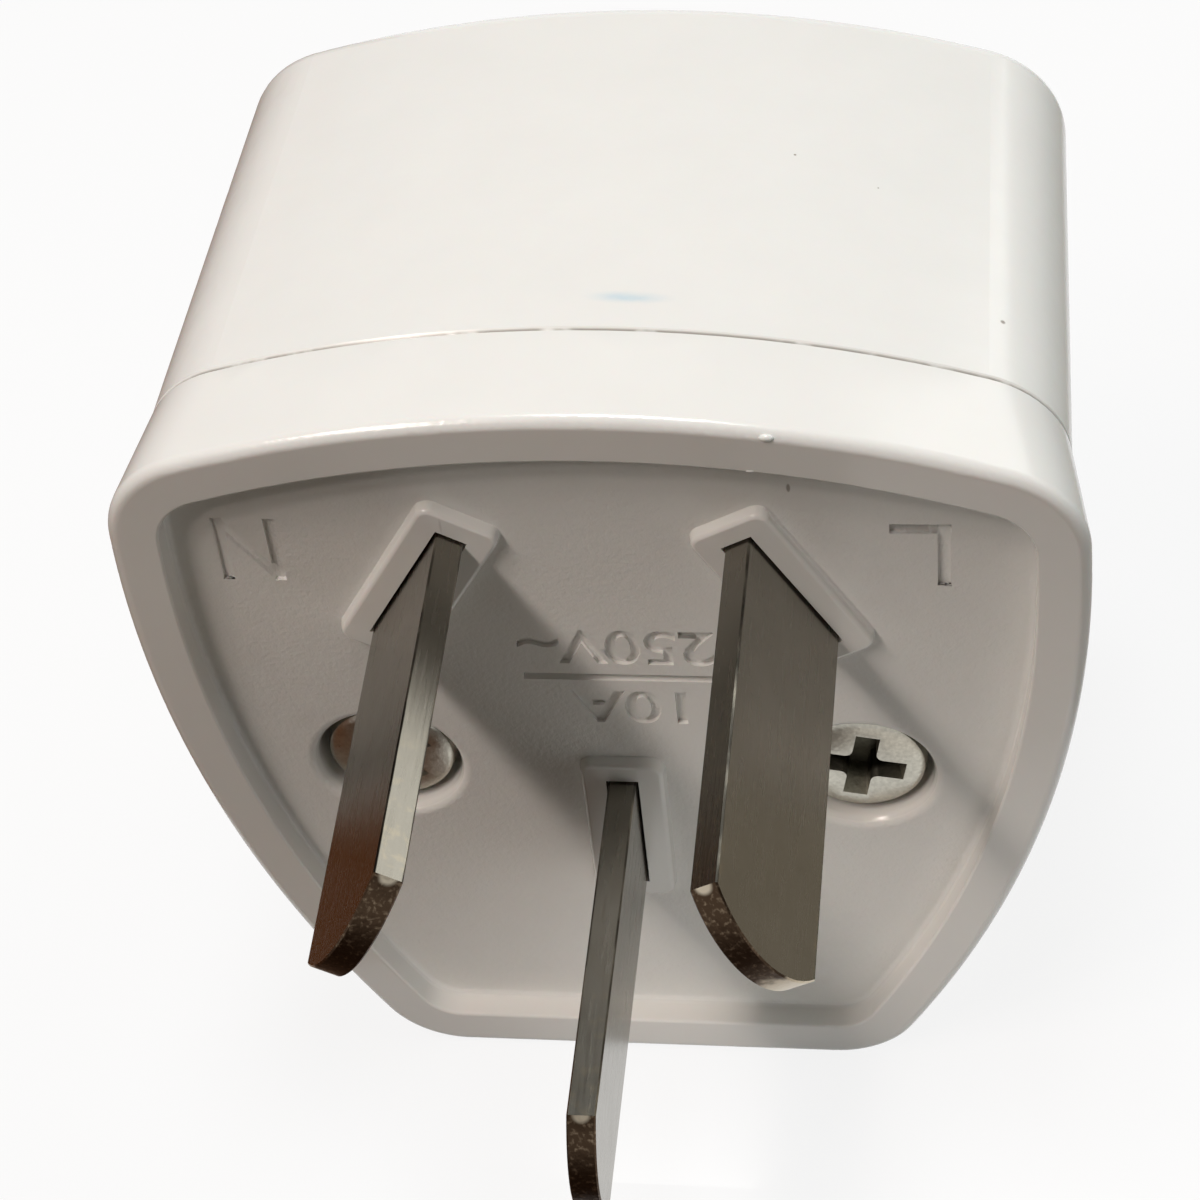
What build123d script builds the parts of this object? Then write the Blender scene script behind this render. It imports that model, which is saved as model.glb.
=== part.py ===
"""Plug adapter: a two-part moulded body with three flat blades in front and a three-hole socket behind."""

import os
from math import sqrt

from build123d import *

# Frame: the rim of the plug face lies in the XZ plane, the blades point to -Y and the wide side is up.
# A depth is measured from the rim into the body, along +Y. All sizes are millimetres.

# Body outline: two side arcs and a top arc over a flat that the adapter rests on
body_depth = 26.1
parting_depth = 4.85
front_half_width = 18.25
parting_half_width = 17.45
back_half_width = 17.05
front_top = 13.5
parting_top = 13.45
back_top = 11.9
rest_level = -24.4
widest_at = 4.4
side_radius = 56.0
top_radius = 47.0
top_corner = 4.4
bottom_corner = 3.9
inner_corner = 0.5
planing = 0.005
level_slack = 0.01

# Main shell
housing_wall = 1.9
face_thickness = 2.2
back_round = 1.0
seam_chamfer = 0.12

# Plug cover
rim_width = 2.05
rim_round = 0.5
rim_inner_round = 0.12
recess_depth = 1.2
recess_round = 0.3
plate_thickness = 1.8
spigot_wall = 1.1
spigot_height = 1.6
spigot_gap = 0.1

# Pads round the blades
pad_width = 3.45
pad_length = 8.3
pad_height = 0.5
pad_corner = 0.6
pad_draft = 12.0
pad_round = 0.2
slot_gap = 0.1

# Blades: the line pair is turned 30 degrees, the earth blade stands upright
line_radius = 7.92
line_angle = 30.0
earth_radius = 10.31
blade_width = 6.2
blade_thickness = 1.1
blade_reach = 16.25
tip_radius = 4.5
blade_edge = 0.06
foot_reach = 4.5
foot_corner = 1.5
foot_bend = 0.9

# Socket holes: rectangular, round and flat pins share one composite hole on each line
socket_level = 4.4
square_pin_spread = 22.2
square_hole_width = 6.8
square_hole_height = 4.6
round_pin_spread = 19.0
round_hole = 5.2
flat_pin_spread = 12.7
slanted_pin_spread = 13.72
flat_hole_width = 1.9
flat_hole_height = 7.0
earth_drop = 22.2
earth_hole_width = 4.6
earth_hole_height = 8.6
round_earth_drop = 11.9
earth_slot_width = 2.2
hole_corner = 0.4

# Folded spring contacts
contact_thickness = 0.5
clip_bend = 0.9
clip_belly = 5.4
clip_throat = 3.0
clip_mouth = 6.2
throat_depth = 18.6
belly_depth = 10.0
mouth_gap = 0.4
line_clip_centre = 10.8
line_clip_width = 5.8
tongue_width = 2.6
tongue_bow = 0.6
earth_belly = 8.6
earth_clip_top = -6.2
earth_clip_gap = 1.7
window_gap = 0.3

# Posts in the shell that hold the line blades' feet down on the cover
hold_down_x = 8.5
hold_down_width = 1.8
hold_down_height = 1.4
hold_down_gap = 0.25

# Rivets that join a blade's foot to its contact
rivet_shank = 1.8
rivet_head = 2.3
rivet_head_height = 0.7
rivet_round = 0.5
rivet_gap = 0.05
line_rivet_x = 10.0
earth_rivet_x = 2.2

# Screws and their bosses
screw_x = 9.45
screw_z = -7.0
screw_diameter = 2.9
screw_length = 10.0
screw_head = 4.8
screw_head_height = 1.7
screw_head_round = 0.5
screw_gap = 0.1
cross_length = 3.0
cross_width = 0.9
cross_depth = 1.0
counterbore = 5.8
counterbore_depth = 2.5
counterbore_round = 0.45
cover_boss = 8.4
cover_boss_floor = 2.0
pilot_spare = 1.0
housing_boss = 6.4

# Depths that several pieces share
plate_inside = recess_depth + plate_thickness
foot_inside = plate_inside + blade_thickness
web_inside = foot_inside + contact_thickness
boss_meeting = recess_depth + counterbore_depth + cover_boss_floor
face_inside = body_depth - face_thickness
mouth_depth = face_inside - mouth_gap
cover_wall = housing_wall + spigot_gap + spigot_wall
earth_level = socket_level - earth_drop
earth_clip_bottom = rest_level + housing_wall + earth_clip_gap

# Places on the plug face: x and height, with the turn of the blade's normal
blade_places = {
    "live": Location(Vector(line_radius, 0).rotate(Axis.Z, line_angle), (0, 0, line_angle)),
    "neutral": Location(Vector(line_radius, 0).rotate(Axis.Z, 180 - line_angle), (0, 0, 180 - line_angle)),
    "earth": Location((0, -earth_radius), (0, 0, 0)),
}
rivet_places = {
    "live": (line_rivet_x, socket_level),
    "neutral": (-line_rivet_x, socket_level),
    "earth": (earth_rivet_x, -earth_radius),
}
screw_places = [(screw_x, screw_z), (-screw_x, screw_z)]

# The flat that the adapter rests on; both shells are planed to it by a hair
rest_plane = Plane.XY.offset(rest_level)

os.makedirs("parts", exist_ok=True)


def level(depth):
    """Plane across the body at a depth, drawn as seen from the blades' side."""
    return Plane.XZ.offset(-depth)


def body_section(depth, inset=0.0):
    """Shield-shaped section of the drafted body, drawn as its left half and mirrored."""
    if depth < parting_depth:
        share = depth / parting_depth
        half_width = front_half_width + (parting_half_width - front_half_width) * share
        top = front_top + (parting_top - front_top) * share
    else:
        share = (depth - parting_depth) / (body_depth - parting_depth)
        half_width = parting_half_width + (back_half_width - parting_half_width) * share
        top = parting_top + (back_top - parting_top) * share
    with BuildSketch(level(depth)) as section:
        with Locations((side_radius - half_width, widest_at)):
            Circle(side_radius - inset)
        with Locations((0, top - top_radius)):
            Circle(top_radius - inset, mode=Mode.INTERSECT)
        with Locations((0, rest_level + inset - planing)):
            Rectangle(side_radius, side_radius, align=(Align.MAX, Align.MIN), mode=Mode.INTERSECT)
        fillet(section.vertices().sort_by(Axis.X)[0], max(top_corner - inset, inner_corner))
        low_left = section.vertices().group_by(Axis.Y)[0].sort_by(Axis.X)[0]
        fillet(low_left, max(bottom_corner - inset, inner_corner))
        mirror(about=Plane.YZ)
    return section.sketch


def folded_strip(belly):
    """Cut face of a strip folded along a clip's outer line, drawn as depth across and side upwards."""
    half_line = [
        (mouth_depth, clip_mouth / 2),
        (throat_depth, clip_throat / 2 + contact_thickness),
        (belly_depth, belly / 2),
        (foot_inside, belly / 2),
    ]
    other_half = [(depth, -side) for depth, side in reversed(half_line)]
    with BuildSketch() as strip:
        with BuildLine():
            FilletPolyline(*half_line, *other_half, radius=clip_bend)
            offset(amount=contact_thickness, side=Side.LEFT)
        make_face()
    return strip.sketch


# Plug cover: drafted tray with a rim, a recessed face and a spigot that locates it in the shell
with BuildPart() as plug_base:
    seam_front = parting_depth - seam_chamfer
    loft([body_section(seam_front), body_section(0)], ruled=True)
    fillet(plug_base.faces().sort_by(Axis.Y)[0].edges(), rim_round)
    loft([body_section(parting_depth, seam_chamfer), body_section(seam_front)], ruled=True)
    split(bisect_by=rest_plane)
    spigot_end = parting_depth + spigot_height
    spigot_inset = housing_wall + spigot_gap
    loft([body_section(parting_depth, spigot_inset), body_section(spigot_end, spigot_inset)], ruled=True)
    loft(
        [body_section(plate_inside, cover_wall), body_section(spigot_end, cover_wall)],
        ruled=True,
        mode=Mode.SUBTRACT,
    )
    # Recessed face
    extrude(body_section(0, rim_width), amount=-recess_depth, mode=Mode.SUBTRACT)
    recess_floor = plug_base.faces().filter_by_position(
        Axis.Y, recess_depth - level_slack, recess_depth + level_slack
    )[0]
    fillet(recess_floor.outer_wire().edges(), recess_round)
    rim_face = plug_base.faces().sort_by(Axis.Y)[0]
    fillet(rim_face.inner_wires()[0].edges(), rim_inner_round)
    # Pads
    with BuildSketch(level(recess_depth)):
        with Locations(*blade_places.values()):
            RectangleRounded(pad_width, pad_length, pad_corner)
    extrude(amount=pad_height, taper=pad_draft)
    pad_level = recess_depth - pad_height
    pad_tops = plug_base.faces().filter_by_position(Axis.Y, pad_level - level_slack, pad_level + level_slack)
    fillet(pad_tops.edges(), pad_round)
    # Screw bosses inside, then the counterbored screw holes
    with BuildSketch(level(plate_inside)):
        with Locations(*screw_places):
            Circle(cover_boss / 2)
    extrude(amount=-(boss_meeting - plate_inside))
    with Locations(level(recess_depth)):
        with Locations(*screw_places):
            CounterBoreHole(
                screw_diameter / 2 + screw_gap, counterbore / 2, counterbore_depth, boss_meeting
            )
    mouths = plug_base.edges().filter_by(GeomType.CIRCLE).filter_by_position(
        Axis.Y, recess_depth - level_slack, recess_depth + level_slack
    )
    fillet(mouths.filter_by(lambda edge: edge.radius == counterbore / 2), counterbore_round)
    # Blade slots
    with BuildSketch(level(0)):
        with Locations(*blade_places.values()):
            Rectangle(blade_thickness + 2 * slot_gap, blade_width + 2 * slot_gap)
    extrude(amount=-boss_meeting, mode=Mode.SUBTRACT)

# Main shell: drafted cup whose floor is the socket face
with BuildPart() as socket_housing:
    seam_back = parting_depth + seam_chamfer
    loft([body_section(seam_back), body_section(body_depth)], ruled=True)
    fillet(socket_housing.faces().sort_by(Axis.Y)[-1].edges(), back_round)
    loft([body_section(parting_depth, seam_chamfer), body_section(seam_back)], ruled=True)
    split(bisect_by=rest_plane)
    loft(
        [body_section(parting_depth, housing_wall), body_section(face_inside, housing_wall)],
        ruled=True,
        mode=Mode.SUBTRACT,
    )
    # Screw bosses, with holes for the screws' shanks
    with BuildSketch(level(face_inside)):
        with Locations(*screw_places):
            Circle(housing_boss / 2)
    extrude(amount=face_inside - boss_meeting)
    with BuildSketch(level(boss_meeting)):
        with Locations(*screw_places):
            Circle(screw_diameter / 2 + screw_gap)
    extrude(amount=-(screw_length - cover_boss_floor + pilot_spare), mode=Mode.SUBTRACT)
    # Posts from the socket face down to the blades' feet, just above the line clips
    hold_down_bottom = socket_level + clip_mouth / 2 + hold_down_gap
    with BuildSketch(level(foot_inside)):
        with Locations((hold_down_x, hold_down_bottom), (-hold_down_x, hold_down_bottom)):
            Rectangle(hold_down_width, hold_down_height, align=(Align.CENTER, Align.MIN))
    extrude(amount=-(face_inside - foot_inside))
    # Composite line holes and the keyhole for earth
    with BuildSketch(level(body_depth)):
        with Locations((square_pin_spread / 2, socket_level)):
            RectangleRounded(square_hole_width, square_hole_height, hole_corner)
        with Locations((round_pin_spread / 2, socket_level)):
            Circle(round_hole / 2)
        with Locations((flat_pin_spread / 2, socket_level)):
            RectangleRounded(flat_hole_width, flat_hole_height, hole_corner)
        with Locations(Location((slanted_pin_spread / 2, socket_level), (0, 0, line_angle))):
            RectangleRounded(flat_hole_width, flat_hole_height, hole_corner)
        mirror(about=Plane.YZ)
        with Locations((0, earth_level)):
            RectangleRounded(earth_hole_width, earth_hole_height, hole_corner)
        with Locations((0, socket_level - round_earth_drop)):
            Circle(round_hole / 2)
        with Locations((0, earth_level)):
            Rectangle(
                earth_slot_width, earth_drop - round_earth_drop, align=(Align.CENTER, Align.MIN)
            )
    extrude(amount=face_thickness, mode=Mode.SUBTRACT)

# Blades: flat strips with an arched tip, bent over inside to a foot that lies on the cover's plate
shoulder = blade_reach - tip_radius + sqrt(tip_radius**2 - (blade_width / 2) ** 2)
blades = {}
for name, place in blade_places.items():
    frame = Plane.XZ.location * place
    outwards = Axis((0, 0, 0), Plane(frame).x_dir)
    with BuildPart() as blade:
        # Side view: the standing blade and its foot, with the bend rounded
        with BuildSketch(Plane(frame * Plane.XZ.location)) as strip:
            with Locations((-blade_thickness / 2, -foot_inside)):
                Rectangle(blade_thickness, foot_inside + blade_reach, align=Align.MIN)
                Rectangle(foot_reach + blade_thickness / 2, blade_thickness, align=Align.MIN)
            heel = strip.vertices().group_by(Axis.Y)[0].sort_by(Axis.X)[0]
            fillet(heel, foot_bend)
        extrude(amount=blade_width / 2, both=True)
        # Front view: the arched tip
        with BuildSketch(Plane(frame * Plane.YZ.location)):
            with BuildLine():
                Polyline(
                    (blade_width / 2, shoulder),
                    (blade_width / 2, -foot_inside),
                    (-blade_width / 2, -foot_inside),
                    (-blade_width / 2, shoulder),
                )
                ThreePointArc((-blade_width / 2, shoulder), (0, blade_reach), (blade_width / 2, shoulder))
            make_face()
        extrude(amount=foot_reach, both=True, mode=Mode.INTERSECT)
        fillet(blade.edges().filter_by(Axis.Y).sort_by(outwards)[-2:], foot_corner)
        tip_edges = blade.edges().group_by(Axis.Y)[0]
        side_edges = blade.edges().filter_by(Axis.Y).filter_by(lambda edge: edge.length > shoulder)
        chamfer(tip_edges + side_edges, blade_edge)
        with BuildSketch(level(plate_inside)):
            with Locations(rivet_places[name]):
                Circle(rivet_shank / 2 + rivet_gap)
        extrude(amount=-blade_thickness, mode=Mode.SUBTRACT)
    blades[name] = blade

# Spring clips: one folded strip each, with a web on the blade's foot and two bowed leaves
with BuildPart() as live_contact:
    with BuildSketch(Plane.YZ.offset(line_clip_centre)):
        with Locations((0, socket_level)):
            add(folded_strip(clip_belly))
    extrude(amount=line_clip_width / 2, both=True)
    # Side tongue for flat pins, folded up from the web's inner edge
    tongue_x = line_clip_centre - line_clip_width / 2
    with BuildSketch(Plane.XY.offset(socket_level)):
        with BuildLine():
            FilletPolyline(
                (line_clip_centre, foot_inside),
                (tongue_x, foot_inside),
                (tongue_x, belly_depth),
                (tongue_x - tongue_bow, throat_depth),
                (tongue_x, mouth_depth),
                radius=clip_bend,
            )
            offset(amount=contact_thickness, side=Side.RIGHT)
        make_face()
    extrude(amount=tongue_width / 2, both=True)
    with BuildSketch(level(foot_inside)):
        with Locations(rivet_places["live"]):
            Circle(rivet_shank / 2 + rivet_gap)
    extrude(amount=-contact_thickness, mode=Mode.SUBTRACT)

with BuildPart() as neutral_contact:
    mirror(live_contact.part, about=Plane.YZ)

with BuildPart() as earth_contact:
    with BuildSketch(Plane.XY.offset(earth_clip_bottom)):
        with Locations(Location((0, 0), (0, 0, 90))):
            add(folded_strip(earth_belly))
    extrude(amount=earth_clip_top - earth_clip_bottom)
    # Window that lets a long rectangular earth pin pass the web
    with BuildSketch(level(foot_inside)):
        with Locations((0, earth_level)):
            Rectangle(earth_hole_width + 2 * window_gap, earth_hole_height + 2 * window_gap)
        with Locations(rivet_places["earth"]):
            Circle(rivet_shank / 2 + rivet_gap)
    extrude(amount=-contact_thickness, mode=Mode.SUBTRACT)

# Rivets: a shank through foot and web, flush below, with a low round head above
with BuildPart() as contact_rivets:
    with BuildSketch(level(plate_inside)):
        with Locations(*rivet_places.values()):
            Circle(rivet_shank / 2)
    extrude(amount=-(web_inside - plate_inside))
    with BuildSketch(level(web_inside)):
        with Locations(*rivet_places.values()):
            Circle(rivet_head / 2)
    extrude(amount=-rivet_head_height)
    fillet(contact_rivets.edges().group_by(Axis.Y)[-1], rivet_round)

# Screws: pan heads with a cross recess, seated in the cover's counterbores
seat = recess_depth + counterbore_depth
with BuildPart() as housing_screws:
    with BuildSketch(level(seat)):
        with Locations(*screw_places):
            Circle(screw_diameter / 2)
    extrude(amount=-screw_length)
    with BuildSketch(level(seat)):
        with Locations(*screw_places):
            Circle(screw_head / 2)
    extrude(amount=screw_head_height)
    fillet(housing_screws.edges().group_by(Axis.Y)[0], screw_head_round)
    with BuildSketch(level(seat - screw_head_height)):
        with Locations(*screw_places):
            Rectangle(cross_length, cross_width)
            Rectangle(cross_width, cross_length)
    extrude(amount=-cross_depth, mode=Mode.SUBTRACT)

pieces = {
    "plug_base": plug_base,
    "socket_housing": socket_housing,
    "live_contact": live_contact,
    "neutral_contact": neutral_contact,
    "earth_contact": earth_contact,
    "contact_rivets": contact_rivets,
    "housing_screws": housing_screws,
}
for name, blade in blades.items():
    pieces[f"{name}_pin"] = blade
for label, piece in pieces.items():
    piece.part.label = label
    export_step(piece.part, f"parts/{label}.step")
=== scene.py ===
"""Looks of the plug adapter: glossy white mouldings, nickel-plated blades and plated cross-head screws."""

from math import atan2, cos, radians, sin

import bmesh
import bpy
from mathutils import Matrix, Vector


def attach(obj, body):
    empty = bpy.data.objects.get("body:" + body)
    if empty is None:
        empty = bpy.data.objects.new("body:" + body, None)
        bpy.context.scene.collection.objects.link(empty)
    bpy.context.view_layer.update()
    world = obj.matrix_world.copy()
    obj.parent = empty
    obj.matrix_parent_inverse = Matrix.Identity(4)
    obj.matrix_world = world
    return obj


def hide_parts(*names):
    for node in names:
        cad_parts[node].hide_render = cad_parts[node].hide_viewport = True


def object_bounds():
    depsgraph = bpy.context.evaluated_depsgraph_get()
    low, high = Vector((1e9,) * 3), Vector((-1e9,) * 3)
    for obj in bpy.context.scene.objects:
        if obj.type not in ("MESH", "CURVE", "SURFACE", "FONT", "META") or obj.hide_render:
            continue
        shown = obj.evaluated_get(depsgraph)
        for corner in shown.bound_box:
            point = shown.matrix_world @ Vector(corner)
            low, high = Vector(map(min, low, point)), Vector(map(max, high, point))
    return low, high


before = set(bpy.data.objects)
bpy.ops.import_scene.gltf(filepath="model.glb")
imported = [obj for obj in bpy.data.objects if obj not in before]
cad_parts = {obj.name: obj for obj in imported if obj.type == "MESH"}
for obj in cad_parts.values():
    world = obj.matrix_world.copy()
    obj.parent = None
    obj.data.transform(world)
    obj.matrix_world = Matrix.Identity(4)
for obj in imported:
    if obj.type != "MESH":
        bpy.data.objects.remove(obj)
cad_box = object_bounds()

# Sizes are millimetres, as in the part's source; MM turns them into Blender's metres.
MM = 0.001
recess_depth = 1.2
parting_depth = 4.85

# Meshing: the gap between corners that count as one, angles in degrees and steps round a circle
merge_gap = 0.002
smooth_limit = 38
flat_limit = 0.2
round_steps = 64

# Engraved figures on the recessed face: the text, its middle in x and z, its width and its height
figure_depth = 0.2
figure_slope = 0.04
face_figures = [("250V~", 0.27, 0.3, 7.6, 1.95), ("10A", 0.53, -3.15, 4.55, 1.9)]

# Engraved strokes of the letters N and L and of the dividing bar: their ends in x and z, width and depth
face_strokes = [
    ((-14.2, 3.77), (-14.2, 7.09), 0.52, 0.18),
    ((-12.2, 3.77), (-12.2, 7.09), 0.52, 0.18),
    ((-14.25, 7.0), (-12.15, 3.86), 0.52, 0.17),
    ((12.8, 4.07), (12.8, 7.33), 0.6, 0.18),
    ((10.82, 7.06), (13.08, 7.06), 0.58, 0.17),
    ((-3.43, -1.42), (3.97, -1.42), 0.42, 0.34),
]
stroke_taper = 0.74

# Blades: the middle of each in x and z, its lean from upright and where its bright end begins below the
# middle, partly wear and partly painted reflection of the floor
blades = {
    "live_pin": (6.86, 3.96, 30, 0.9),
    "neutral_pin": (-6.86, 3.96, -30, 1.9),
    "earth_pin": (0, -10.31, 0, 1.7),
}
blade_half_width = 3.1
blade_half_thickness = 0.55
shoulder_depth = -15.0
shoulder_chip = (0.42, 0.4, 0.36)

# Screws: places in x and z, turns in degrees; the head curves in from its side and down from its top
screw_places = [(9.45, -7.0), (-9.45, -7.0)]
screw_turns = [-10, 35]
screw_seat = 3.7
screw_shank = 2.9
screw_length = 10.0
screw_point_in = 0.4
screw_point_up = 0.8
screw_head = 5.2
screw_head_height = 2.0
head_curve = [(0, 0.55), (0.1, 0.16), (0.3, 0.03)]
cross_length = 3.6
cross_width = 1.0
cross_depth = 1.4
cross_taper = 0.75
cross_round = 0.3
cross_round_steps = 4
cutter_spare = 0.2
# Painted shade in each driver's cross: the height of its middle above the head's seat, and its half sizes
cross_shade_height = 0.6
cross_shade_size = (2.0, 1.25, 2.0)

# Small flaws: their places in x, y and z, their half sizes, and how far the painted shade in the seam between
# the mouldings reaches from it
smear_place = (1.28, 6.69, 13.28)
smear_size = (1.9, 0.45, 0.6)
speck_places = [((14.76, 8.22, 10.79), 0.13), ((6.7, 16.12, 12.14), 0.07), ((9.93, 14.74, 11.65), 0.05)]
scratch_place = (7.24, 1.2, 9.1)
scratch_size = (0.09, 0.2, 0.26)
weld_place = (-5.59, 0.7, 7.37)
weld_size = (0.07, 0.2, 0.5)
nibs = [((6.68, 0.06, 12.72), (0.27, 0.14, 0.15)), ((6.05, 0.02, 11.12), (0.16, 0.05, 0.06))]
seam_core = 0.02
seam_reach = 0.1

# Colours of the plastics, then of the metals; a pair is blended by noise
plastic_shades = (0.81, 0.81, 0.785), (0.845, 0.845, 0.82)
# The seam colour is painted shade in the narrow gap between the two mouldings.
seam_painted_shade = (0.36, 0.34, 0.31)
smear_blue = (0.42, 0.62, 0.74)
speck_brown = (0.16, 0.12, 0.08)
dust_grey = (0.45, 0.42, 0.38)
scratch_brown = (0.2, 0.17, 0.14)
plate_shades = (0.24, 0.225, 0.19), (0.30, 0.285, 0.25)
mottle_yellow = (0.42, 0.36, 0.25)
rubbed_shades = (0.10, 0.094, 0.08), (0.34, 0.32, 0.27)
browned_shades = (0.07, 0.045, 0.028), (0.27, 0.205, 0.14)
# The bright end colour below is partly wear and partly a painted reflection of the floor.
wear_and_reflection_bright = (0.62, 0.55, 0.43)
screw_shades = (0.34, 0.328, 0.28), (0.66, 0.64, 0.56)
# The dark screw colour below is painted shade in the driver's cross.
cross_painted_shade = (0.05, 0.046, 0.03)
brass_shades = (0.72, 0.54, 0.26), (0.46, 0.33, 0.17)

# Camera: found by fitting a pinhole camera to the adapter in the photograph; tilts in degrees
camera_place = (15.852, -81.6, 93.062)
camera_tilt = (42.894, 4.757, 5.796)
camera_lens = 98.532
camera_film = 36
camera_near = 5

# Studio floor with the wall round it: what lights the adapter from below is dim, what is seen is white
floor_radius = 1500
wall_height = 500
floor_dim = (0.15, 0.135, 0.115)
floor_pale = (0.8, 0.8, 0.8)
floor_glow_share = 0.85
room_dim = (0.03, 0.024, 0.016)

# Lamps: name, place, the point it faces, size, power in watts and tint
lamps = [
    ("overhead", (-20, 50, 400), (0, 10, 0), 100, 0.86, (0.95, 0.985, 1.0)),
    ("soft_box", (205, 240, 210), (0, 10, 0), 200, 0.25, (0.98, 0.98, 0.95)),
    ("side_fill", (260, 20, 60), (10, 10, 0), 200, 0.21, (0.96, 0.99, 1.0)),
    ("low_fill", (16, -20, -22), (6, 0, -19), 24, 0.0015, (1.0, 0.98, 0.95)),
    ("floor_glow", (1, -7, -22.8), (1, 0, -22.3), 8, 0.00015, (1.0, 0.98, 0.95)),
]

# Key lamps: one row of soft boxes in front, each with its steepness, its size and its power
key_row = [(1.2, 40, 0.155), (1.7, 40, 0.24), (2.5, 60, 0.22), (4.0, 80, 0.25)]
key_sideways = 0.55
key_distance = 400
key_tint = (1.0, 0.88, 0.81)

# Glowing cards, seen only as painted reflections in the blades: name, two corners and tint
cards = [
    ("left_card", (-26.5, -20, -24), (-26, 70, 20), (0.12, 0.042, 0.014)),
    ("right_card", (32, -20, -24), (32.5, 70, 20), (0.31, 0.27, 0.21)),
    ("front_card", (-70, -110, -24.2), (70, -18, -24), (0.06, 0.03, 0.015)),
    ("low_card", (-45, -18, -24.2), (-3, -4, -24), (0.12, 0.065, 0.04)),
]


class Signal:
    """A shader socket that takes part in sums: each operator adds one Math node."""

    def __init__(self, finish, socket):
        self.finish = finish
        self.socket = socket

    def math(self, operation, *terms):
        return self.finish.node("ShaderNodeMath", {"operation": operation}, dict(enumerate(terms)))

    def __add__(self, other):
        return self.math("ADD", self, other)

    def __radd__(self, other):
        return self.math("ADD", other, self)

    def __sub__(self, other):
        return self.math("SUBTRACT", self, other)

    def __rsub__(self, other):
        return self.math("SUBTRACT", other, self)

    def __mul__(self, other):
        return self.math("MULTIPLY", self, other)

    def __rmul__(self, other):
        return self.math("MULTIPLY", other, self)

    def __abs__(self):
        return self.math("ABSOLUTE", self)

    def __or__(self, other):
        return self.math("MAXIMUM", self, other)


class Finish:
    """A material made of nodes, with its surface coordinates in millimetres."""

    def __init__(self, name, **constants):
        self.material = bpy.data.materials.new(name)
        self.material.use_nodes = True
        self.tree = self.material.node_tree
        self.shader = self.tree.nodes["Principled BSDF"]
        for socket, value in constants.items():
            self.shader.inputs[socket.replace("_", " ")].default_value = value
        surface = self.node("ShaderNodeTexCoord", output="Object")
        self.place = self.node("ShaderNodeMapping", inputs={"Vector": surface, "Scale": (1 / MM,) * 3})
        self.x, self.y, self.z = self.split(self.place)

    def node(self, kind, settings=None, inputs=None, output=0):
        """Adds a node with its settings first, then its sockets' values or links, and gives one output."""
        made = self.tree.nodes.new(kind)
        for setting, value in (settings or {}).items():
            setattr(made, setting, value)
        for socket, value in (inputs or {}).items():
            self.plug(made.inputs[socket], value)
        return Signal(self, made.outputs[output])

    def plug(self, socket, value):
        """Links a signal to a socket, or sets a plain value on it."""
        if isinstance(value, Signal):
            self.tree.links.new(value.socket, socket)
        else:
            socket.default_value = value

    def drive(self, socket, value):
        """Feeds a socket of the shader."""
        self.plug(self.shader.inputs[socket], value)

    def split(self, vector):
        """The three parts of a vector, each as a signal."""
        made = self.node("ShaderNodeSeparateXYZ", inputs={"Vector": vector}).socket.node
        return [Signal(self, socket) for socket in made.outputs]

    def normal(self):
        """The surface's own direction, as three signals."""
        return self.split(self.node("ShaderNodeTexCoord", output="Normal"))

    def vector(self, operation, *terms, output=0):
        """One sum on vectors."""
        return self.node("ShaderNodeVectorMath", {"operation": operation}, dict(enumerate(terms)), output)

    def noise(self, scale, detail, stretch=(1, 1, 1)):
        """Cloudy noise with so many lumps to a millimetre, drawn out along the axes by stretch."""
        drawn = self.vector("DIVIDE", self.place, stretch)
        return self.node("ShaderNodeTexNoise", inputs={"Vector": drawn, "Scale": scale, "Detail": detail})

    def ramp(self, value, low, high):
        """0 below low, 1 above high and a smooth step between them."""
        inputs = {"Value": value, "From Min": low, "From Max": high}
        return self.node("ShaderNodeMapRange", {"interpolation_type": "SMOOTHSTEP"}, inputs)

    def spot(self, middle, radii, soft):
        """1 inside an ellipsoid, falling to 0 at its skin over the soft share of its radius."""
        share = self.vector("DIVIDE", self.vector("SUBTRACT", self.place, middle), radii)
        distance = self.vector("LENGTH", share, output="Value")
        return 1 - self.ramp(distance, 1 - soft, 1)

    def mix(self, factor, first, second):
        """Blends two colours."""
        colours = {0: factor, 6: as_colour(first), 7: as_colour(second)}
        return self.node("ShaderNodeMix", {"data_type": "RGBA"}, colours, 2)

    def bump(self, height, depth):
        """Raises the surface by height times depth, in millimetres."""
        inputs = {"Height": height, "Distance": depth * MM, "Strength": 1.0}
        self.drive("Normal", self.node("ShaderNodeBump", inputs=inputs))


def as_colour(value):
    """A signal as it is, or a plain colour with its alpha added."""
    return value if isinstance(value, Signal) else (*value, 1.0)


def white_moulding(name):
    """Glossy warm-white plastic with painted shade in its seam: gives the finish, its tint and its uneven
    sheen.
    """
    finish = Finish(name, IOR=1.5, Subsurface_Weight=0.06, Subsurface_Scale=0.8 * MM)
    plain = finish.mix(finish.noise(0.35, 3), *plastic_shades)
    seam = 1 - finish.ramp(abs(finish.y - parting_depth), seam_core, seam_reach)
    # Painted shade darkens the seam between the mouldings, patchy along its length.
    patchy_seam_shade = finish.ramp(finish.noise(0.7, 3), 0.3, 0.5)
    tint = finish.mix(seam * patchy_seam_shade, plain, seam_painted_shade)
    sheen = 0.14 + 0.1 * finish.noise(0.8, 4)
    return finish, tint, sheen


def shell_plastic():
    """The main shell, with a faint blue smear and a few dark specks in its skin."""
    finish, tint, sheen = white_moulding("shell_plastic")
    smear = finish.spot(smear_place, smear_size, 0.9) * finish.noise(1.6, 3, (2, 0.6, 1))
    tint = finish.mix(smear * 0.8, tint, smear_blue)
    for middle, radius in speck_places:
        speck = finish.spot(middle, (radius,) * 3, 0.6)
        tint = finish.mix(speck * 0.75, tint, speck_brown)
    finish.drive("Base Color", tint)
    finish.drive("Roughness", sheen)
    finish.bump(finish.noise(0.5, 2) + 0.25 * finish.noise(2.5, 2), 0.012)
    return finish.material


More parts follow.
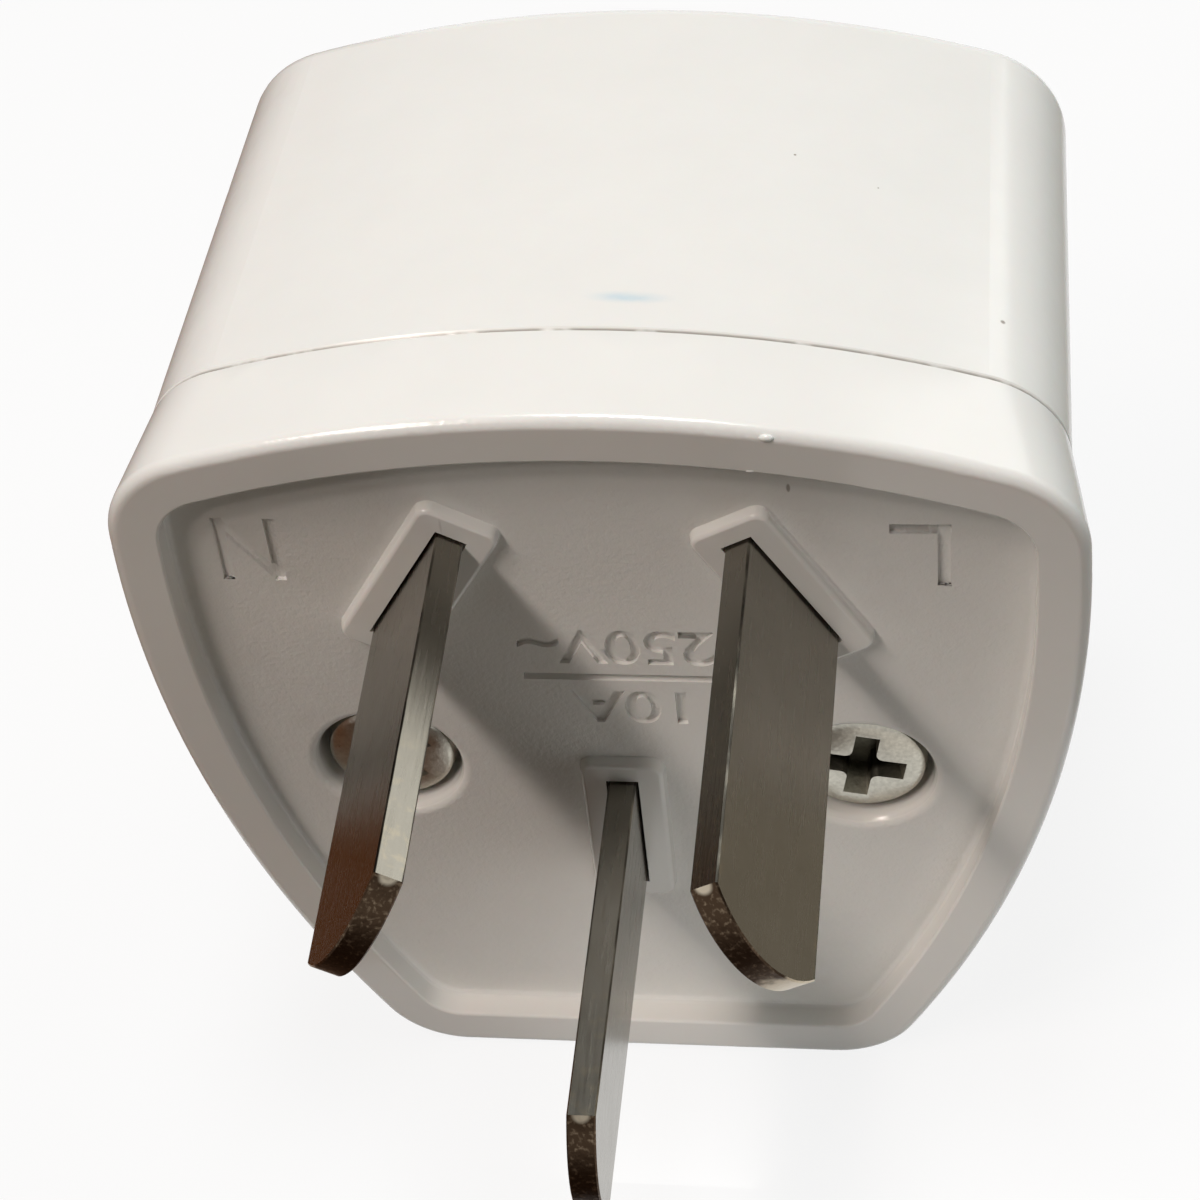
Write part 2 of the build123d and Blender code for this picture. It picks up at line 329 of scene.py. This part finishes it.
def cover_plastic():
    """The plug cover: glossy outside, finely grained in the recess."""
    finish, tint, sheen = white_moulding("cover_plastic")
    facing = finish.normal()[1]
    inside = finish.ramp(finish.y, 0.85, 1.1) * finish.ramp(-1 * facing, 0.55, 0.8)
    grain = finish.noise(5.5, 2)
    dust = finish.ramp(finish.noise(0.45, 5), 0.55, 0.85) * inside
    tint = finish.mix(dust * 0.1, tint, dust_grey)
    scratch = finish.spot(scratch_place, scratch_size, 0.5)
    weld = finish.spot(weld_place, weld_size, 0.8)
    finish.drive("Base Color", finish.mix(scratch * 0.7 | weld * 0.2, tint, scratch_brown))
    finish.drive("Roughness", sheen + inside * 0.24)
    finish.bump(inside * grain + 0.1 * finish.noise(0.5, 2), 0.028)
    return finish.material


def blade_metal(name, middle_x, middle_z, lean, bright_from):
    """Nickel plate over brass, drawn lengthwise, with rubbed edges and a browned end that is bright low down,
    partly from wear and partly from a painted reflection of the floor.
    """
    finish = Finish(name, Metallic=1.0)
    up_x = -sin(radians(lean))
    up_z = cos(radians(lean))
    height = (finish.x - middle_x) * up_x + (finish.z - middle_z) * up_z
    across = (finish.x - middle_x) * up_z - (finish.z - middle_z) * up_x

    # Plate: mottled on the narrow strips towards the end, scratched along its edges
    draw = finish.noise(7, 3, (1, 14, 1))
    plate = finish.mix(finish.noise(0.5, 3), *plate_shades)
    strip = finish.ramp(abs(height), blade_half_width - 0.4, blade_half_width - 0.1)
    mottle = strip * finish.ramp(-1 * finish.y, 6, 14) * finish.ramp(finish.noise(1.8, 4), 0.5, 0.66)
    plate = finish.mix(mottle * 0.3, plate, mottle_yellow)
    rim = finish.ramp(abs(height), blade_half_width - 0.12, blade_half_width - 0.06)
    side = finish.ramp(abs(across), blade_half_thickness - 0.1, blade_half_thickness - 0.05)
    scratch = finish.ramp(finish.noise(2.6, 4, (1, 5, 1)), 0.4, 0.7)
    plate = finish.mix(rim * side, plate, finish.mix(scratch, *rubbed_shades))

    # Cut end: browned and flecked, bright low down from wear and from a painted reflection of the floor, and
    # chipped at the shoulder
    cut = finish.ramp(-1 * finish.normal()[1], 0.3, 0.5)
    browned = finish.mix(finish.ramp(finish.noise(6, 5), 0.5, 0.8), *browned_shades)
    # Painted reflection of the floor, mixed with wear, brightens the end low down.
    bright_low = finish.ramp(-1 * height + 1.6 * finish.noise(1.6, 4), bright_from + 0.8, bright_from + 1.5)
    shoulder = (middle_x + up_x * blade_half_width, shoulder_depth, middle_z + up_z * blade_half_width)
    chip = finish.spot(shoulder, shoulder_chip, 0.5)
    end = finish.mix(bright_low | chip, browned, wear_and_reflection_bright)

    finish.drive("Base Color", finish.mix(cut, plate, end))
    finish.drive("Roughness", 0.2 + 0.12 * draw + 0.12 * cut)
    finish.bump(draw + cut * finish.noise(4, 3) * 3, 0.006)
    return finish.material


def screw_metal():
    """Bright plated steel with a slightly frosted skin and painted shade in the driver's cross."""
    finish = Finish("screw_metal", Metallic=1.0)
    frost = finish.noise(6, 4)
    tint = finish.mix(frost, *screw_shades)
    for x, z in screw_places:
        # Painted shade darkens the bottom of each driver's cross.
        cross_shade = finish.spot((x, screw_seat - cross_shade_height, z), cross_shade_size, 0.3)
        tint = finish.mix(cross_shade * 0.93, tint, cross_painted_shade)
    finish.drive("Base Color", tint)
    finish.drive("Roughness", 0.22 + 0.2 * finish.noise(2.2, 3))
    finish.bump(frost, 0.012)
    return finish.material


def contact_metal():
    """Bare spring brass, drawn and a little tarnished."""
    finish = Finish("contact_metal", Metallic=1.0)
    tarnish = finish.ramp(finish.noise(0.6, 4), 0.4, 0.75)
    finish.drive("Base Color", finish.mix(tarnish, *brass_shades))
    finish.drive("Roughness", 0.26 + 0.2 * tarnish)
    finish.bump(finish.noise(6, 2, (1, 10, 1)), 0.005)
    return finish.material


def in_scene(name, data):
    """A new object in the scene, at the origin and unturned."""
    made = bpy.data.objects.new(name, data)
    bpy.context.scene.collection.objects.link(made)
    return made


def new_piece(name, mesh, material):
    """A finished piece that belongs to the adapter, with its place in its mesh."""
    piece = in_scene(name, mesh)
    mesh.materials.clear()
    mesh.materials.append(material)
    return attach(piece, "root")


def mesh_of(shape, name):
    """Turns a bmesh into a mesh."""
    mesh = bpy.data.meshes.new(name)
    shape.to_mesh(mesh)
    shape.free()
    return smoothed(mesh)


def smoothed(mesh):
    """Shades curves smooth and keeps corners crisp."""
    mesh.shade_smooth()
    mesh.set_sharp_from_angle(angle=radians(smooth_limit))
    return mesh


def merge_corners(shape):
    """Joins corners that lie on one spot."""
    bmesh.ops.remove_doubles(shape, verts=shape.verts, dist=merge_gap * MM)


def shade_evenly(piece):
    """Lets larger faces lead the shading, so flat faces stay flat beside their rounded edges."""
    even = piece.modifiers.new("even", "WEIGHTED_NORMAL")
    even.keep_sharp = True
    even.weight = 100


def cut_away(mesh, tools, name):
    """The mesh less the tools' meshes."""
    blank = in_scene(name, mesh)
    helpers = [blank]
    for tool in tools:
        cutter = in_scene("cutter", tool)
        helpers.append(cutter)
        cut = blank.modifiers.new("cut", "BOOLEAN")
        cut.operation = "DIFFERENCE"
        cut.solver = "EXACT"
        cut.object = cutter
    ready = bpy.context.evaluated_depsgraph_get()
    shaped = bpy.data.meshes.new_from_object(blank.evaluated_get(ready))
    for helper in helpers:
        bpy.data.objects.remove(helper)
    return smoothed(shaped)


def figure_cutter(words, x, z, width, height):
    """A text with sloping sides, fitted to its box, turned upside down and sunk into the recess floor."""
    letters = bpy.data.curves.new("figure", "FONT")
    letters.body = words
    letters.size = height * MM
    letters.extrude = (figure_depth - figure_slope) * MM
    letters.bevel_depth = figure_slope * MM
    holder = in_scene("figure", letters)
    ready = bpy.context.evaluated_depsgraph_get()
    cutter = bpy.data.meshes.new_from_object(holder.evaluated_get(ready))
    bpy.data.objects.remove(holder)
    corners = [vertex.co for vertex in cutter.vertices]
    low = Vector(map(min, zip(*corners)))
    high = Vector(map(max, zip(*corners)))
    centred = Matrix.Translation(-(low + high) / 2)
    fitted = Matrix.Diagonal((width * MM / (high.x - low.x), height * MM / (high.y - low.y), 1, 1))
    turned = Matrix(((-1, 0, 0), (0, 0, -1), (0, -1, 0))).to_4x4()
    placed = Matrix.Translation(Vector((x, recess_depth, z)) * MM)
    cutter.transform(placed @ turned @ fitted @ centred)
    return cutter


def stroke_cutter(start, end, width, depth):
    """A straight groove in the recess floor, narrower at its bottom."""
    along = Vector(end) - Vector(start)
    middle = (Vector(end) + Vector(start)) / 2
    shape = bmesh.new()
    bmesh.ops.create_cube(shape, size=1)
    bmesh.ops.scale(shape, vec=Vector((along.length, 2 * depth, width)) * MM, verts=shape.verts)
    bottom = [vertex for vertex in shape.verts if vertex.co.y > 0]
    bmesh.ops.scale(shape, vec=(1, 1, stroke_taper), verts=bottom)
    placed = Matrix.Translation(Vector((middle.x, recess_depth, middle.y)) * MM)
    turned = Matrix.Rotation(-atan2(along.y, along.x), 4, "Y")
    bmesh.ops.transform(shape, matrix=placed @ turned, verts=shape.verts)
    return mesh_of(shape, "stroke")


def plug_cover(material):
    """The plug cover with its engraved marks."""
    shape = bmesh.new()
    shape.from_mesh(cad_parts["plug_base"].data)
    merge_corners(shape)
    bmesh.ops.dissolve_limit(shape, angle_limit=radians(flat_limit), verts=shape.verts, edges=shape.edges)
    blank = mesh_of(shape, "plug_cover")
    cutters = [figure_cutter(*figure) for figure in face_figures]
    cutters += [stroke_cutter(*stroke) for stroke in face_strokes]
    piece = new_piece("plug_cover", cut_away(blank, cutters, "plug_cover"), material)
    shade_evenly(piece)
    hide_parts("plug_base")


def screw_blank():
    """A pan-head screw about its own axis, with the head's seat at zero and the head upwards."""
    shape = bmesh.new()
    outline = [
        (0, -screw_length),
        (screw_shank / 2 - screw_point_in, -screw_length),
        (screw_shank / 2, -screw_length + screw_point_up),
        (screw_shank / 2, 0),
        (screw_head / 2, 0),
        *[(screw_head / 2 - inwards, screw_head_height - down) for inwards, down in head_curve],
        (0, screw_head_height),
    ]
    corners = [shape.verts.new(Vector((radius, 0, height)) * MM) for radius, height in outline]
    edges = [shape.edges.new(pair) for pair in zip(corners, corners[1:])]
    bmesh.ops.spin(
        shape,
        geom=corners + edges,
        axis=(0, 0, 1),
        cent=(0, 0, 0),
        steps=round_steps,
        angle=radians(360),
        use_merge=True,
    )
    merge_corners(shape)
    bmesh.ops.recalc_face_normals(shape, faces=shape.faces)
    return mesh_of(shape, "screw")


def cross_cutter():
    """The driver's cross: a plus-shaped tool that narrows downwards, with rounded inner corners."""
    shape = bmesh.new()
    bmesh.ops.create_grid(shape, x_segments=3, y_segments=3, size=cross_length / 2 * MM)
    for vertex in shape.verts:
        for axis in (0, 1):
            if abs(vertex.co[axis]) < cross_length / 4 * MM:
                vertex.co[axis] *= 3 * cross_width / cross_length
    middles = {face: face.calc_center_median() for face in shape.faces}
    corners = [face for face, spot in middles.items() if min(abs(spot.x), abs(spot.y)) > cross_width / 2 * MM]
    bmesh.ops.delete(shape, geom=corners, context="FACES")
    bmesh.ops.dissolve_faces(shape, faces=shape.faces)
    bmesh.ops.translate(shape, vec=(0, 0, (screw_head_height + cutter_spare) * MM), verts=shape.verts)
    deep = bmesh.ops.extrude_face_region(shape, geom=shape.faces[:])["geom"]
    bottom = [item for item in deep if isinstance(item, bmesh.types.BMVert)]
    bmesh.ops.translate(shape, vec=(0, 0, -(cross_depth + cutter_spare) * MM), verts=bottom)
    bmesh.ops.scale(shape, vec=(cross_taper, cross_taper, 1), verts=bottom)
    bmesh.ops.recalc_face_normals(shape, faces=shape.faces)
    inner = [
        edge
        for edge in shape.edges
        if abs(edge.verts[0].co.z - edge.verts[1].co.z) > cross_depth / 2 * MM
        and max(map(abs, edge.verts[0].co[:2])) < cross_width * MM
    ]
    bmesh.ops.bevel(
        shape,
        geom=inner,
        offset=cross_round * MM,
        segments=cross_round_steps,
        profile=0.5,
        affect="EDGES",
        material=-1,
    )
    return mesh_of(shape, "cross")


def housing_screws(material):
    """Both screws as one piece, each turned as it was left by the driver."""
    shape = bmesh.new()
    for (x, z), turn in zip(screw_places, screw_turns):
        screw = cut_away(screw_blank(), [cross_cutter()], "screw")
        placed = Matrix.Translation(Vector((x, screw_seat, z)) * MM)
        forwards = Matrix.Rotation(radians(90), 4, "X")
        screw.transform(placed @ forwards @ Matrix.Rotation(radians(turn), 4, "Z"))
        shape.from_mesh(screw)
    merge_corners(shape)
    piece = new_piece("cross_head_screws", mesh_of(shape, "cross_head_screws"), material)
    shade_evenly(piece)
    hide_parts("housing_screws")


def moulding_nibs(material):
    """The small torn nibs that trimming left on the cover's rim."""
    shape = bmesh.new()
    for place, size in nibs:
        ball = bmesh.ops.create_icosphere(shape, subdivisions=3, radius=1)["verts"]
        bmesh.ops.scale(shape, vec=Vector(size) * MM, verts=ball)
        bmesh.ops.translate(shape, vec=Vector(place) * MM, verts=ball)
    piece = new_piece("moulding_nibs", mesh_of(shape, "moulding_nibs"), material)


def soft_lamp(name, place, target, size, power, tint):
    """A square soft box that faces a point of the adapter."""
    lamp = bpy.data.lights.new(name, "AREA")
    lamp.shape = "SQUARE"
    lamp.size = size * MM
    lamp.energy = power
    lamp.color = tint
    holder = in_scene(name, lamp)
    holder.location = Vector(place) * MM
    holder.rotation_euler = (Vector(target) - Vector(place)).to_track_quat("-Z", "Y").to_euler()


def glowing_reflection_card(name, low, high, tint):
    """A glowing card between two corners that shows only in reflections: a painted reflection of the room, as
    flags give round polished metal.
    """
    shape = bmesh.new()
    bmesh.ops.create_cube(shape, size=1)
    bmesh.ops.scale(shape, vec=(Vector(high) - Vector(low)) * MM, verts=shape.verts)
    bmesh.ops.translate(shape, vec=(Vector(high) + Vector(low)) / 2 * MM, verts=shape.verts)
    card = in_scene(name, mesh_of(shape, name))
    # The card glows with its tint and lights nothing: it is a painted reflection.
    finish = Finish(name, Roughness=1.0, Specular_IOR_Level=0.0, Emission_Strength=1.0)
    finish.drive("Base Color", as_colour((0, 0, 0)))
    finish.drive("Emission Color", as_colour(tint))
    card.data.materials.append(finish.material)
    card.visible_camera = False
    card.visible_diffuse = False
    card.visible_shadow = False


def pale_floor():
    """A white floor and low wall that keep the adapter's shadow and throw little light back at it."""
    finish = Finish("pale_floor", Roughness=0.9)
    rays = finish.node("ShaderNodeLightPath").socket.node.outputs
    seen = Signal(finish, rays["Is Camera Ray"]) | Signal(finish, rays["Is Glossy Ray"])
    seen = seen | Signal(finish, rays["Is Transmission Ray"])
    finish.drive("Base Color", finish.mix(seen, floor_dim, floor_pale))
    glow = finish.node("ShaderNodeEmission", inputs={"Color": as_colour((1, 1, 1)), "Strength": 1.0})
    surface = Signal(finish, finish.shader.outputs[0])
    shown = finish.node("ShaderNodeMixShader", inputs={0: seen * floor_glow_share, 1: surface, 2: glow})
    finish.plug(finish.tree.nodes["Material Output"].inputs["Surface"], shown)

    shape = bmesh.new()
    bmesh.ops.create_circle(shape, cap_ends=True, segments=round_steps, radius=floor_radius * MM)
    bmesh.ops.translate(shape, vec=(0, 0, cad_box[0].z), verts=shape.verts)
    wall = bmesh.ops.extrude_edge_only(shape, edges=shape.edges[:])["geom"]
    top = [item for item in wall if isinstance(item, bmesh.types.BMVert)]
    bmesh.ops.translate(shape, vec=(0, 0, wall_height * MM), verts=top)
    floor = in_scene("floor", mesh_of(shape, "floor"))
    floor.data.materials.append(finish.material)


def studio():
    """The floor, soft boxes above, beside, behind and in front, glowing cards painted into the blades'
    reflections and a dim, even room.
    """
    pale_floor()
    for lamp in lamps:
        soft_lamp(*lamp)
    for steepness, size, power in key_row:
        place = Vector((-key_sideways * steepness, -1, steepness)).normalized() * key_distance
        soft_lamp("key", place, (0, 0, 0), size, power, key_tint)
    for card in cards:
        glowing_reflection_card(*card)
    room = bpy.data.worlds.new("studio")
    room.use_nodes = True
    backdrop = room.node_tree.nodes["Background"]
    backdrop.inputs["Color"].default_value = as_colour(room_dim)
    backdrop.inputs["Strength"].default_value = 1.0
    bpy.context.scene.world = room


def camera():
    """The photograph's viewpoint."""
    view = bpy.data.cameras.new("photo_view")
    view.lens = camera_lens
    view.sensor_width = camera_film
    view.clip_start = camera_near * MM
    holder = in_scene("photo_view", view)
    holder.location = Vector(camera_place) * MM
    holder.rotation_euler = [radians(angle) for angle in camera_tilt]
    bpy.context.scene.camera = holder


def dress(node, material):
    """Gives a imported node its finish."""
    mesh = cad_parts[node].data
    mesh.materials.clear()
    mesh.materials.append(material)


cover = cover_plastic()
brass = contact_metal()
dress("socket_housing", shell_plastic())
for pin, form in blades.items():
    dress(pin, blade_metal(pin + "_metal", *form))
for contact in ("live_contact", "neutral_contact", "earth_contact", "contact_rivets"):
    dress(contact, brass)
plug_cover(cover)
moulding_nibs(cover)
housing_screws(screw_metal())
studio()
camera()
bpy.context.scene.view_settings.view_transform = "Standard"
